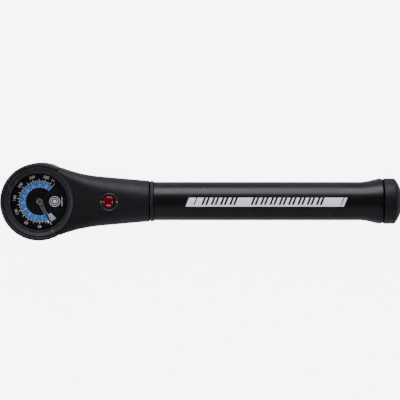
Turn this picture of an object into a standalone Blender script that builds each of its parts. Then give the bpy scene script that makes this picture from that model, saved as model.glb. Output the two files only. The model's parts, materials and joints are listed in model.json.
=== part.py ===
"""Hand shock pump with a dial gauge, built as the separate pieces that it comes apart into.

The pump lies on its back: the gauge faces +Z and the sliding barrel points along +X.
The origin is the middle of the surface that it lies on. Every length is in metres.
"""
from math import asin, cos, hypot, pi, sin, sqrt, tau, radians

import bmesh
import bpy
from mathutils import Matrix, Vector
from mathutils.geometry import tessellate_polygon

# Driving dimensions.
LENGTH = 0.2588
HEAD_RADIUS = 0.0250
HEAD_HEIGHT = 0.0300
CAP_RADIUS = 0.0148
BARREL_RADIUS = 0.0125
NECK_RADIUS = 0.0133
STROKE = 0.112
BUTTON_TRAVEL = 0.0018
GAP = 0.0003
CLEARANCE = 0.0100

# The pump axis is one cap radius above the resting surface, because the cap touches it.
AXIS_HEIGHT = CAP_RADIUS
HEAD_X = HEAD_RADIUS - LENGTH / 2

# Places along the pump axis, measured from the centre of the round head.
NECK_END = 0.0709
BUMPER_START = 0.0712
BARREL_START = 0.0738
FLARE_START = 0.2076
FLARE_END = 0.2187
BARREL_END = 0.2222
CAP_START = 0.2230
CAP_EDGE = 0.2295
CAP_TIP = LENGTH - HEAD_RADIUS
VALVE_PLACE = 0.0451
PORT_PLACE = 0.0300

# The head: a drum for the gauge that flows into a tapering neck.
NECK_FILLET = 0.100
NECK_TAPER = 0.0833
NECK_TOP = 0.0292
HEAD_CORNER = 0.0015
CORNER_GROWTH = 0.8
GUARD_SEAM = radians(60)
GUARD_INNER = 0.0229
DRUM_RADIUS = 0.0226
POCKET_RADIUS = 0.0206
POCKET_FLOOR = 0.0070
BEZEL_SEAT = 0.0270
BEZEL_RADIUS = 0.0224
WINDOW_RADIUS = 0.0185

# The gauge.
CASE_RADIUS = 0.0203
CASE_SHOULDER = 0.0207
CASE_TOP = 0.0247
DIAL_BOTTOM = 0.0210
DIAL_TOP = 0.0216
TUBE_RADIUS = 0.0150
SOCKET_PLACE = 0.0140
SOCKET_HALF = 0.0024
TIP_ANGLE = radians(285)
PLATE_RADIUS = 0.0138
BACK_PLATE = (0.0086, 0.0094)
FRONT_PLATE = (0.0186, 0.0194)
PILLARS = [(-0.0095, 0.0075), (-0.0095, -0.0075), (0.0065, 0.0105)]
NEEDLE_LENGTH = 0.0171
NEEDLE_REST = radians(-62.9)

# The movement's gears: the sector turns a fifth as far as the needle.
GEAR_MODULE = 0.0005
PINION_TEETH = 8
SECTOR_RATIO = 5
SECTOR_ANGLE = radians(-40)
SECTOR_TEETH = range(-7, 2)
TAIL_LENGTH = 0.0040

# The pump cylinder, its piston and the rod.
CYLINDER_OUTER = 0.0096
CYLINDER_INNER = 0.0082
CYLINDER_START = 0.0592
PISTON_FACE = 0.0755
GUIDE_START = PISTON_FACE + STROKE + CLEARANCE
CYLINDER_END = GUIDE_START + 0.0055
NECK_BORE = 0.0099
PASSAGE_RADIUS = 0.0015
ROD_RADIUS = 0.0030
BARREL_BORE = 0.0113
SELECTOR_TURN = radians(90)
PIN_CIRCLE = 0.0096

# The bleed valve and the hose port.
BUSH_RADIUS = 0.00565
BUTTON_RADIUS = 0.00377
BUTTON_TOP = 0.0295
VALVE_BORE = 0.0042
PIN_RADIUS = 0.0008
PIN_FOOT = 0.0126
SPRING_FOOT = 0.0188
SPRING_TOP = 0.0271
PORT_BORE = 0.0058

# Colour, roughness and metallic value of each finish.
FINISHES = {
    "black_composite": ((0.018, 0.018, 0.020), 0.48, 0.0),
    "black_rubber": ((0.016, 0.016, 0.017), 0.62, 0.0),
    "bezel_plastic": ((0.045, 0.045, 0.050), 0.42, 0.0),
    "black_anodised": ((0.020, 0.020, 0.022), 0.30, 0.6),
    "clear_lens": ((0.80, 0.83, 0.85), 0.05, 0.0),
    "dial_black": ((0.008, 0.008, 0.008), 0.40, 0.0),
    "needle_grey": ((0.55, 0.54, 0.50), 0.40, 0.2),
    "red_anodised": ((0.42, 0.01, 0.02), 0.20, 0.8),
    "brass": ((0.66, 0.48, 0.20), 0.30, 1.0),
    "steel": ((0.58, 0.58, 0.60), 0.28, 1.0),
    "chromed_tube": ((0.62, 0.63, 0.65), 0.12, 1.0),
    "seal_rubber": ((0.02, 0.02, 0.02), 0.55, 0.0),
    "bearing_plastic": ((0.70, 0.69, 0.64), 0.45, 0.0),
}


def clear_scene():
    for item in list(bpy.data.objects):
        bpy.data.objects.remove(item, do_unlink=True)


def finish_material(finish):
    """Return the Principled material of a finish, made the first time it is asked for."""
    if finish in bpy.data.materials:
        return bpy.data.materials[finish]
    colour, roughness, metallic = FINISHES[finish]
    material = bpy.data.materials.new(finish)
    material.use_nodes = True
    shader = material.node_tree.nodes["Principled BSDF"]
    shader.inputs["Base Color"].default_value = (*colour, 1.0)
    shader.inputs["Roughness"].default_value = roughness
    shader.inputs["Metallic"].default_value = metallic
    material.diffuse_color = (*colour, 1.0)
    return material


def axis_empty(name, place, along_x=False):
    """An empty on a joint's axis. Its local Z is the axis: world +Z, or +X for the pump axis."""
    empty = bpy.data.objects.new(name, None)
    bpy.context.collection.objects.link(empty)
    empty.location = place
    if along_x:
        empty.rotation_euler = (0, pi / 2, 0)
    return empty


def add_piece(name, mesh_data, finish, parent):
    """Close a bmesh into a named object whose faces point outward."""
    bmesh.ops.recalc_face_normals(mesh_data, faces=mesh_data.faces)
    mesh = bpy.data.meshes.new(name)
    mesh_data.to_mesh(mesh)
    mesh_data.free()
    mesh.shade_smooth()
    mesh.set_sharp_from_angle(angle=radians(35))
    piece = bpy.data.objects.new(name, mesh)
    bpy.context.collection.objects.link(piece)
    piece.parent = parent
    if finish:
        mesh.materials.append(finish_material(finish))
    return piece


def loft(rings, closed=False):
    """Join rings of points with faces, and cap both ends unless the last ring meets the first."""
    mesh_data = bmesh.new()
    loops = [[mesh_data.verts.new(point) for point in ring] for ring in rings]
    pairs = list(zip(loops, loops[1:]))
    if closed:
        pairs.append((loops[-1], loops[0]))
    else:
        mesh_data.faces.new(loops[0])
        mesh_data.faces.new(loops[-1])
    for near, far in pairs:
        for index in range(len(near)):
            after = (index + 1) % len(near)
            mesh_data.faces.new((near[index], near[after], far[after], far[index]))
    return mesh_data


def turned(name, outline, finish, parent, segments=32, start=0.0, sweep=tau):
    """Turn a closed outline of (radius, height) points about the parent's local Z."""
    whole = sweep == tau
    count = segments if whole else segments + 1
    rings = []
    for step in range(count):
        angle = start + sweep * step / segments
        rings.append([(r * cos(angle), r * sin(angle), h) for r, h in outline])
    mesh_data = loft(rings, closed=whole)
    bmesh.ops.remove_doubles(mesh_data, verts=mesh_data.verts, dist=1e-7)
    return add_piece(name, mesh_data, finish, parent)


def circle(radius, segments, centre=(0.0, 0.0), start=0.0, sweep=tau):
    """Points round a circle, or along an arc of it with both ends included."""
    count = segments if sweep == tau else segments + 1
    angles = [start + sweep * step / segments for step in range(count)]
    return [(centre[0] + radius * cos(a), centre[1] + radius * sin(a)) for a in angles]


def plate(name, outline, holes, bottom, top, finish, parent):
    """A flat plate: an outline with holes through it, between two heights."""
    loops = [outline] + holes
    flat = [[Vector((x, y, 0)) for x, y in loop] for loop in loops]
    mesh_data = bmesh.new()
    levels = []
    for height in (bottom, top):
        levels.append([[mesh_data.verts.new((x, y, height)) for x, y in loop] for loop in loops])
    for level in levels:
        points = [vert for loop in level for vert in loop]
        for corners in tessellate_polygon(flat):
            mesh_data.faces.new([points[index] for index in corners])
    for low, high in zip(*levels):
        for index in range(len(low)):
            after = (index + 1) % len(low)
            mesh_data.faces.new((low[index], low[after], high[after], high[index]))
    return add_piece(name, mesh_data, finish, parent)


def rod(name, radius, bottom, top, finish, parent, segments=16, bore=0.0):
    """A round bar between two heights, or a tube if it has a bore."""
    outline = [(radius, top), (radius, bottom), (bore, bottom), (bore, top)]
    return turned(name, outline, finish, parent, segments)


def seal_ring(name, radius, thickness, height, parent, segments=20):
    """A rubber O-ring: a round section of the given radius, turned at a radius and height."""
    section = circle(thickness, 6, centre=(radius, height))
    return turned(name, section, "seal_rubber", parent, segments)


def swept(name, route, section, finish, parent):
    """Sweep a section of (outward, up) points along a level or climbing route round Z."""
    rings = []
    for place in route:
        outward = Vector((place.x, place.y, 0)).normalized()
        rings.append([place + outward * across + Vector((0, 0, up)) for across, up in section])
    return add_piece(name, loft(rings), finish, parent)


def combine(piece, others, operation):
    """Add a Boolean modifier for each other shape, and keep those shapes out of the model."""
    for other in others:
        other.hide_render = True
        other.display_type = "WIRE"
        modifier = piece.modifiers.new(other.name, "BOOLEAN")
        modifier.operation = operation
        modifier.solver = "EXACT"
        modifier.object = other


def cutter(outline, parent, segments=32, name="cutter"):
    return turned(name, outline, None, parent, segments)


def bar_cutter(radius, bottom, top, parent, segments=16):
    return rod("cutter", radius, bottom, top, None, parent, segments)


def block_mesh(low, high):
    """A bmesh box between two corners."""
    mesh_data = bmesh.new()
    size = Vector(high) - Vector(low)
    centre = (Vector(high) + Vector(low)) / 2
    bmesh.ops.create_cube(mesh_data, matrix=Matrix.Translation(centre) @ Matrix.Diagonal((*size, 1)))
    return mesh_data


# ---------------------------------------------------------------- head and neck

def fillet_centre():
    """Centre of the arc that is tangent to the round head and to the neck's straight taper."""
    slope = hypot(1, NECK_TAPER)
    across, along = 1 / slope, NECK_TAPER / slope
    line = along * NECK_END + across * NECK_RADIUS
    reach = line + NECK_FILLET
    slide = sqrt((HEAD_RADIUS + NECK_FILLET) ** 2 - reach ** 2)
    return along * reach + across * slide, across * reach - along * slide


def half_width(place):
    """Half the width of the head and neck at a distance from the head's centre."""
    centre_place, centre_width = fillet_centre()
    leaves_head = centre_place * HEAD_RADIUS / (HEAD_RADIUS + NECK_FILLET)
    meets_taper = centre_place - NECK_FILLET * NECK_TAPER / hypot(1, NECK_TAPER)
    if place <= 0:
        return HEAD_RADIUS
    if place < leaves_head:
        return sqrt(HEAD_RADIUS ** 2 - place ** 2)
    if place < meets_taper:
        return centre_width - sqrt(NECK_FILLET ** 2 - (place - centre_place) ** 2)
    return NECK_RADIUS + NECK_TAPER * (NECK_END - place)


def neck_section(place, corner_start, inset=0.0, corner_points=6):
    """Rounded rectangle across the neck: square at the head, a circle at the neck's end."""
    share = max(0.0, (place - corner_start) / (NECK_END - corner_start))
    low = (AXIS_HEIGHT - NECK_RADIUS) * share + inset
    high = NECK_TOP + (AXIS_HEIGHT + NECK_RADIUS - NECK_TOP) * share - inset
    width = half_width(place) - inset
    rounding = sin(share * pi / 2) ** CORNER_GROWTH
    corner = HEAD_CORNER + (NECK_RADIUS * 0.99 - HEAD_CORNER) * rounding - inset
    corner = min(corner, (high - low) / 2 * 0.995)
    points = []
    for quarter, (side, level) in enumerate([(1, 1), (-1, 1), (-1, -1), (1, -1)]):
        centre_y = side * (width - corner)
        centre_z = (high - corner) if level > 0 else (low + corner)
        for step in range(corner_points + 1):
            angle = pi / 2 * (quarter + step / corner_points)
            points.append((place, centre_y + corner * cos(angle), centre_z + corner * sin(angle)))
    return points


def head_housing(head, pump, valve, port):
    """The moulded body: gauge pocket, neck, cylinder bore, valve bore and hose port."""
    corner_start = 0.008
    end_chamfer = 0.0004
    places = [-0.0245, 0.0011, 0.0045, 0.008, 0.0105, 0.013, 0.016, 0.0195, 0.024, 0.030, 0.040, 0.055]
    rings = [neck_section(place, corner_start) for place in places]
    rings.append(neck_section(NECK_END - end_chamfer, corner_start))
    rings.append(neck_section(NECK_END, corner_start, inset=end_chamfer))
    housing = add_piece("head_housing", loft(rings), "black_composite", head)

    outside, below, above = 0.040, -0.005, 0.036
    arc = tau - 2 * GUARD_SEAM
    guard_space = plate(
        "cutter",
        circle(outside, 40, start=GUARD_SEAM, sweep=arc)
        + circle(DRUM_RADIUS, 40, start=GUARD_SEAM, sweep=arc)[::-1],
        [], below, above, None, head)
    bezel_bore = BEZEL_RADIUS + 0.0004
    pocket = cutter([(0, above), (bezel_bore, above), (bezel_bore, BEZEL_SEAT),
                     (POCKET_RADIUS, BEZEL_SEAT), (POCKET_RADIUS, POCKET_FLOOR),
                     (0, POCKET_FLOOR)], head, 48)
    bore_floor = 0.057
    pump_bore = cutter([(0, 0.080), (NECK_BORE, 0.080), (NECK_BORE, bore_floor),
                        (PASSAGE_RADIUS, bore_floor), (PASSAGE_RADIUS, PORT_PLACE - 0.001),
                        (0, PORT_PLACE - 0.001)], pump, 40)
    bush_seat = 0.0235
    valve_floor = PIN_FOOT - BUTTON_TRAVEL - 0.0008
    valve_bore = cutter([(0, above), (BUSH_RADIUS + GAP, above), (BUSH_RADIUS + GAP, bush_seat),
                         (VALVE_BORE, bush_seat), (VALVE_BORE, valve_floor), (0, valve_floor)],
                        valve, 24)
    chamber = 0.0025
    port_bore = cutter([(0, AXIS_HEIGHT), (chamber, AXIS_HEIGHT), (chamber, 0.0072),
                        (PORT_BORE, 0.0072), (PORT_BORE, below), (0, below)], port, 24)
    stem_bore = bar_cutter(0.0023, 0.0030, POCKET_FLOOR + 0.001, head, 16)
    stem_bore.location = (SOCKET_PLACE, 0, 0)
    gauge_passage = slanted_passage(head)
    combine(housing, [guard_space, pocket, pump_bore, valve_bore, port_bore,
                      stem_bore, gauge_passage], "DIFFERENCE")
    return housing


def slanted_passage(head):
    """Cutter for the drilling that leads pressure from the port chamber to the gauge stem."""
    start = Vector((SOCKET_PLACE, 0, 0.0034))
    end = Vector((PORT_PLACE, 0, 0.0088))
    passage = bar_cutter(0.0008, 0, (end - start).length, head, 12)
    passage.location = start
    passage.rotation_euler = (end - start).to_track_quat("Z", "Y").to_euler()
    return passage


def head_guard(head):
    """The C-shaped rubber guard round the drum, open where the neck leaves it."""
    rim_radius = 0.0007
    rim = circle(rim_radius, 4, centre=(HEAD_RADIUS - rim_radius, HEAD_HEIGHT - rim_radius),
                 start=0, sweep=pi / 2)
    outline = rim + [(0.0238, HEAD_HEIGHT), (0.0233, 0.0297), (GUARD_INNER, 0.0288),
                     (GUARD_INNER, 0.0008), (0.0238, 0.0008), (0.0243, 0.0014), (HEAD_RADIUS, 0.0240)]
    end_gap = GAP / HEAD_RADIUS
    turned("head_guard", outline, "black_rubber", head, segments=30,
           start=GUARD_SEAM + end_gap, sweep=tau - 2 * (GUARD_SEAM + end_gap))


def gauge_front(head):
    """The bezel, the lens and the gasket that it is pressed on."""
    bezel = [(BEZEL_RADIUS - 0.0003, 0.0296), (BEZEL_RADIUS, 0.0293), (BEZEL_RADIUS, 0.0273),
             (WINDOW_RADIUS, 0.0273), (WINDOW_RADIUS, 0.0281), (0.0187, 0.0284), (0.0190, 0.0284),
             (0.0193, 0.0281), (0.0219, 0.0296)]
    turned("gauge_bezel", bezel, "bezel_plastic", head, 40)
    lens = [(0, 0.0270), (0.0200, 0.0270), (CASE_RADIUS, 0.0267), (CASE_RADIUS, 0.0257), (0, 0.0257)]
    turned("gauge_lens", lens, "clear_lens", head, 40)
    rod("lens_gasket", CASE_RADIUS, 0.0250, 0.0254, "seal_rubber", head, 24, bore=0.0189)


def gauge_case(head):
    """The gauge's cup, with a shoulder for the dial and a hole for the stem."""
    case = turned("gauge_case", [
        (CASE_RADIUS, CASE_TOP), (CASE_RADIUS, 0.0073), (0, 0.0073), (0, 0.0081),
        (0.0182, 0.0081), (0.0182, CASE_SHOULDER), (0.0195, CASE_SHOULDER), (0.0195, CASE_TOP),
    ], "steel", head, 32)
    hole = bar_cutter(0.0024, 0.006, 0.010, head)
    hole.location = (SOCKET_PLACE, 0, 0)
    combine(case, [hole], "DIFFERENCE")


def dial_plate(head):
    plate("dial_plate", circle(0.0192, 40), [circle(0.0010, 10)],
          DIAL_BOTTOM, DIAL_TOP, "dial_black", head)


def movement_plates(head, sector_place):
    """The two brass plates, cut straight beside the socket, with their pillars and screws."""
    cut_place = SOCKET_PLACE - SOCKET_HALF - 0.0007
    half_opening = sqrt(PLATE_RADIUS ** 2 - cut_place ** 2)
    start = asin(half_opening / PLATE_RADIUS)
    outline = circle(PLATE_RADIUS, 20, start=start, sweep=tau - 2 * start)
    arbor_hole = circle(0.0008, 10)
    sector_hole = circle(0.0010, 10, centre=sector_place)
    screw_holes = [circle(0.0008, 10, centre=place) for place in PILLARS]
    plate("movement_back_plate", outline, [arbor_hole, sector_hole], *BACK_PLATE, "brass", head)
    plate("movement_front_plate", outline, [arbor_hole, sector_hole] + screw_holes,
          *FRONT_PLATE, "brass", head)
    screw = [(0, 0.0204), (0.0011, 0.0204), (0.0015, 0.0201), (0.0015, 0.0197),
             (0.0005, 0.0197), (0.0005, 0.0165), (0, 0.0165)]
    for number, (x, y) in enumerate(PILLARS, start=1):
        pillar = rod(f"movement_pillar_{number}", 0.0014, BACK_PLATE[1] + GAP,
                     FRONT_PLATE[0] - GAP, "brass", head, bore=0.0008)
        pillar.location = (x, y, 0)
        fastener = turned(f"plate_screw_{number}", screw, "steel", head, 12)
        fastener.location = (x, y, 0)


def pressure_parts(head, sector_place):
    """The socket and stem, the curved Bourdon tube, its tip and the link to the sector's tail."""
    low = (SOCKET_PLACE - SOCKET_HALF, -0.0030, 0.0085)
    high = (SOCKET_PLACE + SOCKET_HALF, 0.0030, 0.0154)
    socket = add_piece("gauge_socket", block_mesh(low, high), "brass", head)
    stem = rod("cutter", 0.0020, 0.0042, 0.0090, None, head)
    bore = bar_cutter(0.0008, 0.0030, 0.0125, head, 12)
    for shape in (stem, bore):
        shape.location = (SOCKET_PLACE, 0, 0)
    combine(socket, [stem], "UNION")
    combine(socket, [bore], "DIFFERENCE")
    seal = seal_ring("stem_seal", 0.0015, 0.00045, 0.00355, head, 16)
    seal.location = (SOCKET_PLACE, 0, 0)

    tube_height = 0.0122
    tube_start = asin(0.0033 / TUBE_RADIUS)
    route = [Vector((x, y, tube_height))
             for x, y in circle(TUBE_RADIUS, 24, start=tube_start, sweep=TIP_ANGLE - tube_start)]
    flat_oval = [(0.0008 * cos(a), 0.0026 * sin(a)) for a in [tau * k / 8 for k in range(8)]]
    swept("bourdon_tube", route, flat_oval, "brass", head)

    tip_start = TIP_ANGLE + GAP / TUBE_RADIUS
    tip_width = radians(8)
    inner, outer = 0.0137, 0.0163
    outline = (circle(outer, 3, start=tip_start, sweep=tip_width)
               + circle(inner, 3, start=tip_start, sweep=tip_width)[::-1])
    plate("bourdon_tip", outline, [], 0.0096, 0.0171, "brass", head)

    middle = tip_start + tip_width / 2
    tip_place = Vector((cos(middle), sin(middle))) * TUBE_RADIUS
    tail_place = Vector(sector_place) * (1 + TAIL_LENGTH / hypot(*sector_place))
    link = plate("bourdon_link", link_outline((tail_place - tip_place).length),
                 [circle(0.0005, 8)], 0, 0.0005, "steel", head)
    link.location = (*tip_place, 0.0175)
    link.rotation_euler = (0, 0, Vector((1, 0)).angle_signed(tail_place - tip_place, 0) * -1)


def link_outline(length):
    """A flat bar with a round eye at each end, from the origin along +X."""
    eye, half_bar = 0.0011, 0.0005
    neck_angle = asin(half_bar / eye)
    near = circle(eye, 10, start=neck_angle, sweep=tau - 2 * neck_angle)
    far = circle(eye, 10, centre=(length, 0), start=pi + neck_angle, sweep=tau - 2 * neck_angle)
    return near + far


def hairspring(head):
    """The flat spiral that takes the play out of the gears."""
    turns, per_turn = 3, 16
    inner, outer = 0.0013, 0.0044
    route = []
    for step in range(turns * per_turn + 1):
        share = step / (turns * per_turn)
        angle = tau * turns * share
        radius = inner + (outer - inner) * share
        route.append(Vector((radius * cos(angle), radius * sin(angle), 0.0118)))
    section = [(0.00015, -0.0003), (0.00015, 0.0003), (-0.00015, 0.0003), (-0.00015, -0.0003)]
    swept("hairspring", route, section, "steel", head)


# ---------------------------------------------------------------- needle and gears

def tooth_points(centre_angle, pitch_angle, pitch_radius):
    """One gear tooth, from its root on one side over its tip to its root on the other."""
    addendum, dedendum = 0.8 * GEAR_MODULE, 1.2 * GEAR_MODULE
    shape = [(-0.33, -dedendum), (-0.20, 0), (-0.09, addendum),
             (0.09, addendum), (0.20, 0), (0.33, -dedendum)]
    points = []
    for share, rise in shape:
        angle = centre_angle + share * pitch_angle
        radius = pitch_radius + rise
        points.append((radius * cos(angle), radius * sin(angle)))
    return points


def needle_parts(needle_axis):
    """The pointer, its hub, its arbor and the pinion that turns them."""
    tip, shoulder = 0.0003, 0.0085
    wide, eye, tail = 0.0011, 0.0015, 0.0042
    blade = [(NEEDLE_LENGTH, -tip / 2), (NEEDLE_LENGTH, tip / 2), (shoulder, 0.0006), (shoulder, wide)]
    counterweight = [(-tail, wide), (-tail, -wide)]
    near_eye = circle(eye, 6, start=radians(50), sweep=radians(80))
    far_eye = circle(eye, 6, start=radians(230), sweep=radians(80))
    outline = blade + near_eye + counterweight + far_eye + [(shoulder, -wide), (shoulder, -0.0006)]
    needle = plate("needle", outline, [circle(0.0008, 12)], 0.0223, 0.0227, "needle_grey", needle_axis)
    needle.rotation_euler = (0, 0, NEEDLE_REST)
    turned("needle_hub", [(0, 0.0243), (0.0008, 0.0242), (0.0013, 0.0238), (0.0014, 0.0232), (0, 0.0232)],
           "steel", needle_axis, 20)
    rod("needle_arbor", 0.0005, 0.0084, 0.0229, "steel", needle_axis, 12)
    pitch_angle = tau / PINION_TEETH
    outline = []
    for tooth in range(PINION_TEETH):
        centre_angle = SECTOR_ANGLE + tooth * pitch_angle
        outline += tooth_points(centre_angle, pitch_angle, GEAR_MODULE * PINION_TEETH / 2)
    plate("pinion_gear", outline, [circle(0.0008, 10)], 0.0156, 0.0180, "brass", needle_axis)


def sector_parts(sector_axis):
    """The toothed sector with its tail, and the shaft that it turns on."""
    pitch_angle = tau / PINION_TEETH / SECTOR_RATIO
    pitch_radius = GEAR_MODULE * PINION_TEETH * SECTOR_RATIO / 2
    towards_pinion = SECTOR_ANGLE + pi
    outline = []
    for tooth in SECTOR_TEETH:
        centre_angle = towards_pinion + (tooth + 0.5) * pitch_angle
        outline += tooth_points(centre_angle, pitch_angle, pitch_radius)
    boss, eye = 0.0018, 0.0011
    tail = (TAIL_LENGTH * cos(SECTOR_ANGLE), TAIL_LENGTH * sin(SECTOR_ANGLE))
    outline += circle(boss, 5, start=towards_pinion + radians(60), sweep=radians(80))
    outline += circle(eye, 8, centre=tail, start=SECTOR_ANGLE - pi / 2, sweep=pi)
    outline += circle(boss, 4, start=SECTOR_ANGLE + radians(40), sweep=radians(50))
    plate("sector_gear", outline, [circle(0.0010, 10), circle(0.0005, 8, centre=tail)],
          0.0164, 0.0172, "brass", sector_axis)
    rod("sector_shaft", 0.0007, 0.0084, 0.0200, "steel", sector_axis, 12)


# ---------------------------------------------------------------- bleed valve and hose port

def valve_parts(valve, button_axis):
    """The notched bush, the seat, the spring, and the button with its pin and seal."""
    bush_bottom, bush_top, step = 0.0238, 0.0289, 0.0277
    bush = turned("button_bush", [
        (BUSH_RADIUS, bush_top), (BUSH_RADIUS, bush_bottom), (0.00405, bush_bottom),
        (0.00405, step), (0.0051, step), (0.0051, bush_top),
    ], "black_anodised", valve, 24)
    notch = add_piece("cutter", block_mesh((-0.008, -0.0008, step), (0.008, 0.0008, 0.032)), None, valve)
    combine(bush, [notch], "DIFFERENCE")
    rod("bleed_valve_seat", 0.0039, 0.0159, 0.0184, "brass", valve, 24, bore=0.00125)

    wire, coil, turns, per_turn = 0.00035, 0.0022, 5, 10
    route = []
    for point in range(turns * per_turn + 1):
        share = point / (turns * per_turn)
        height = SPRING_FOOT + wire + (SPRING_TOP - SPRING_FOOT - 2 * wire) * share
        angle = tau * turns * share
        route.append(Vector((coil * cos(angle), coil * sin(angle), height)))
    swept("button_spring", route, circle(wire, 5), "steel", valve)

    turned("bleed_button", [
        (0, 0.0288), (0.0015, 0.0289), (0.0026, 0.0292), (0.0031, BUTTON_TOP), (0.0034, BUTTON_TOP),
        (BUTTON_RADIUS, 0.0291), (BUTTON_RADIUS, 0.0245), (0.0029, 0.0245), (0.0029, 0.0275), (0, 0.0275),
    ], "red_anodised", button_axis, 24)
    turned("bleed_pin", [
        (0, 0.0272), (PIN_RADIUS, 0.0272), (PIN_RADIUS, 0.0144), (0.0020, 0.0144),
        (0.0020, 0.0133), (0.0012, PIN_FOOT), (0, PIN_FOOT),
    ], "steel", button_axis, 16)
    seal_ring("bleed_seal", 0.00145, 0.0005, 0.0152, button_axis, 16)


def port_parts(port):
    """The brass insert that the hose screws into, and its seal."""
    thread_pitch, thread_depth, turns = 0.0015, 0.0003, 3
    bore, bottom, top = 0.0034, 0.0003, 0.0057
    thread = []
    for ridge in range(turns):
        height = bottom + 0.0006 + ridge * thread_pitch
        thread += [(bore + thread_depth, height), (bore, height + thread_pitch / 2)]
    outline = [(0.0055, top), (0.0055, bottom), (0.0041, bottom)] + thread + [(bore, top)]
    turned("hose_port", outline, "brass", port, 20)
    seal_ring("port_seal", 0.0042, 0.0006, 0.0064, port)


# ---------------------------------------------------------------- cylinder, rod, barrel and cap

def cylinder_parts(pump):
    """The fixed inner cylinder with its valve at one end and the rod guide at the other."""
    rod("inner_cylinder", CYLINDER_OUTER, CYLINDER_START, CYLINDER_END, "chromed_tube", pump, 40,
        bore=CYLINDER_INNER)
    seal_ring("cylinder_seal", 0.0089, 0.0008, 0.0581, pump)
    rod("check_valve_seat", 0.0079, 0.0594, 0.0630, "brass", pump, 20, bore=0.0012)
    rod("check_valve_flap", 0.0045, 0.0582, 0.0590, "seal_rubber", pump, 20)
    bumper_outer, bumper_end = 0.0134, 0.0734
    turned("bumper_ring", [
        (0.0128, bumper_end), (bumper_outer, bumper_end - 0.0006), (bumper_outer, BUMPER_START + 0.0008),
        (0.0126, BUMPER_START), (NECK_BORE, BUMPER_START), (NECK_BORE, bumper_end),
    ], "black_rubber", pump, 40)
    flange = CYLINDER_END + GAP
    turned("rod_guide", [
        (0.0095, flange + 0.0020), (0.0095, flange), (0.0079, flange), (0.0079, GUIDE_START),
        (0.0032, GUIDE_START), (0.0032, flange + 0.0020),
    ], "bearing_plastic", pump, 24)


def rod_parts(stroke):
    """The hollow piston rod, the piston and its seal, the piston screw and the end nut."""
    collar, collar_start, rod_start, rod_end = 0.0045, 0.2086, 0.0660, 0.2292
    turned("piston_rod", [
        (ROD_RADIUS, rod_end), (ROD_RADIUS, collar_start + 0.0020), (collar, collar_start + 0.0020),
        (collar, collar_start), (ROD_RADIUS, collar_start), (ROD_RADIUS, rod_start),
        (0.0012, rod_start), (0.0012, rod_end),
    ], "chromed_tube", stroke, 20)
    piston_radius, groove = 0.0080, 0.0065
    turned("piston", [
        (piston_radius, PISTON_FACE), (piston_radius, 0.0717), (groove, 0.0717), (groove, 0.0697),
        (piston_radius, 0.0697), (piston_radius, 0.0655), (0.0033, 0.0655), (0.0033, PISTON_FACE),
    ], "bearing_plastic", stroke, 24)
    seal_ring("piston_seal", 0.0073, 0.0007, 0.0707, stroke)
    turned("piston_screw", [
        (0.0009, 0.0740), (0.0009, 0.0652), (0.0042, 0.0652), (0.0042, 0.0641), (0.0036, 0.0636),
        (0, 0.0636), (0, 0.0740),
    ], "steel", stroke, 16)
    plate("rod_nut", circle(0.0050, 6), [circle(ROD_RADIUS + 0.0002, 16)],
          0.2264, 0.2290, "steel", stroke)


def barrel_parts(barrel_axis):
    """The sliding barrel with its flared end, its bearings and the plug that holds the rod."""
    flare_radius = 0.01455
    flare = []
    for step in range(6):
        share = step / 5
        radius = BARREL_RADIUS + (flare_radius - BARREL_RADIUS) * (1 - cos(share * pi / 2)) ** 0.85
        flare.append((radius, FLARE_START + (FLARE_END - FLARE_START) * share))
    edge = 0.0003
    outline = [(BARREL_BORE, BARREL_START), (BARREL_RADIUS - edge, BARREL_START),
               (BARREL_RADIUS, BARREL_START + edge)]
    outline += flare + [(0.01465, FLARE_END + 0.0005), (0.01465, BARREL_END - 0.0005),
                        (0.0142, BARREL_END), (BARREL_BORE, BARREL_END)]
    turned("barrel", outline[::-1], "black_anodised", barrel_axis, 40)
    bush_radius = BARREL_BORE - 0.0002
    rod("guide_bush", bush_radius, 0.0755, 0.0875, "bearing_plastic", barrel_axis, 24, bore=0.0098)
    rod("wiper_ring", bush_radius, 0.0741, 0.0752, "seal_rubber", barrel_axis, 24, bore=0.0098)
    stub, groove = 0.0080, 0.0068
    plug = turned("end_plug", [
        (stub, 0.2260), (stub, 0.2250), (groove, 0.2250), (groove, 0.2234), (stub, 0.2234),
        (stub, 0.2220), (bush_radius, 0.2220), (bush_radius, 0.2110), (0.0033, 0.2110), (0.0033, 0.2260),
    ], "bearing_plastic", barrel_axis, 24)
    slack, slot_half = radians(12), 0.0012
    start, sweep = -slack, SELECTOR_TURN + 2 * slack
    slot = plate("cutter", circle(PIN_CIRCLE + slot_half, 12, start=start, sweep=sweep)
                 + circle(PIN_CIRCLE - slot_half, 12, start=start, sweep=sweep)[::-1],
                 [], 0.2195, 0.2225, None, barrel_axis)
    combine(plug, [slot], "DIFFERENCE")
    seal_ring("selector_seal", 0.0075, 0.0006, 0.2242, barrel_axis)


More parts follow.
